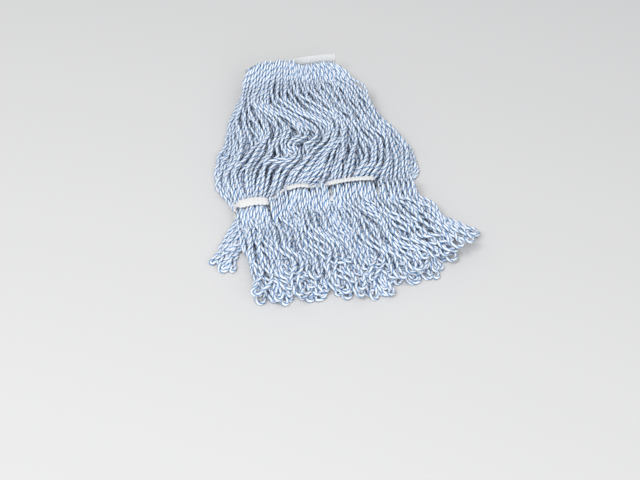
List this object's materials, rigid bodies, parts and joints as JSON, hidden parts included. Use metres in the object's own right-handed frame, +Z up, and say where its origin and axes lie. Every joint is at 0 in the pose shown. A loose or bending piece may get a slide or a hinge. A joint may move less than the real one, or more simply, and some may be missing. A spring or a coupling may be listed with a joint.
{
  "type": "string mop head",
  "caption": "Looped-end string mop head, folded in two at a narrow sewn headband, with a tail band across each half and a spreading looped fringe.",
  "frame": {"origin": "on the surface that the head lies on, under the middle of its overall length and width", "axes": "+Z up; +Y from the looped fringe towards the folded headband; +X to the right as seen from the fringe end"},
  "size_m": [0.37, 0.45, 0.044],
  "materials": {
    "yarn": "soft four-ply yarn, white and mid-blue plies twisted together",
    "webbing": "plain woven tape, matt",
    "thread": "polyester sewing thread, satin"
  },
  "bodies": {
    "lower_half": {"headband_bar_tacks_lower": "thread", "headband_inner_tape_lower": "webbing", "headband_outer_tape_lower": "webbing", "headband_stitches_lower": "thread", "lower_curtain_yarn_1": "yarn", "lower_curtain_yarn_2": "yarn", "lower_curtain_yarn_3": "yarn", "lower_curtain_yarn_4": "yarn", "lower_curtain_yarn_5": "yarn", "lower_curtain_yarn_6": "yarn", "lower_curtain_yarn_7": "yarn", "lower_fringe_loops_1": "yarn", "lower_fringe_loops_2": "yarn", "lower_fringe_loops_3": "yarn", "lower_fringe_loops_4": "yarn", "lower_fringe_loops_5": "yarn", "lower_fringe_loops_6": "yarn", "lower_tail_stitches": "thread", "lower_tail_tape_back": "webbing", "lower_tail_tape_face": "webbing"},
    "upper_half": {"headband_bar_tacks_upper": "thread", "headband_inner_tape_upper": "webbing", "headband_outer_tape_upper": "webbing", "headband_stitches_upper": "thread", "upper_curtain_yarn_1": "yarn", "upper_curtain_yarn_2": "yarn", "upper_curtain_yarn_3": "yarn", "upper_curtain_yarn_4": "yarn", "upper_curtain_yarn_5": "yarn", "upper_curtain_yarn_6": "yarn", "upper_curtain_yarn_7": "yarn", "upper_tail_stitches": "thread", "upper_tail_tape_back": "webbing", "upper_tail_tape_face": "webbing"},
    "left_lock": {"left_lock_loops": "yarn"},
    "right_lock": {"right_lock_loops": "yarn"},
    "upper_fringe": {"upper_fringe_loops_1": "yarn", "upper_fringe_loops_2": "yarn", "upper_fringe_loops_3": "yarn", "upper_fringe_loops_4": "yarn", "upper_fringe_loops_5": "yarn", "upper_fringe_loops_6": "yarn", "upper_fringe_loops_7": "yarn"}
  },
  "joints": [
    {"name": "head_fold", "type": "hinge", "parent": "lower_half", "child": "upper_half", "pos_m": [-0.015, 0.2253, 0.0225], "axis": [-1, 0, 0], "range_deg": [0, 180]},
    {"name": "upper_fringe_lift", "type": "hinge", "parent": "upper_half", "child": "upper_fringe", "pos_m": [-0.01, -0.0658, 0.035], "axis": [1, 0, 0], "range_deg": [-80, 0]},
    {"name": "left_lock_swing", "type": "hinge", "parent": "lower_half", "child": "left_lock", "pos_m": [-0.1365, -0.0667, 0], "axis": [0, 0, 1], "range_deg": [-10, 4]},
    {"name": "right_lock_swing", "type": "hinge", "parent": "lower_half", "child": "right_lock", "pos_m": [0.1065, -0.0667, 0], "axis": [0, 0, 1], "range_deg": [-4, 10]}
  ]
}
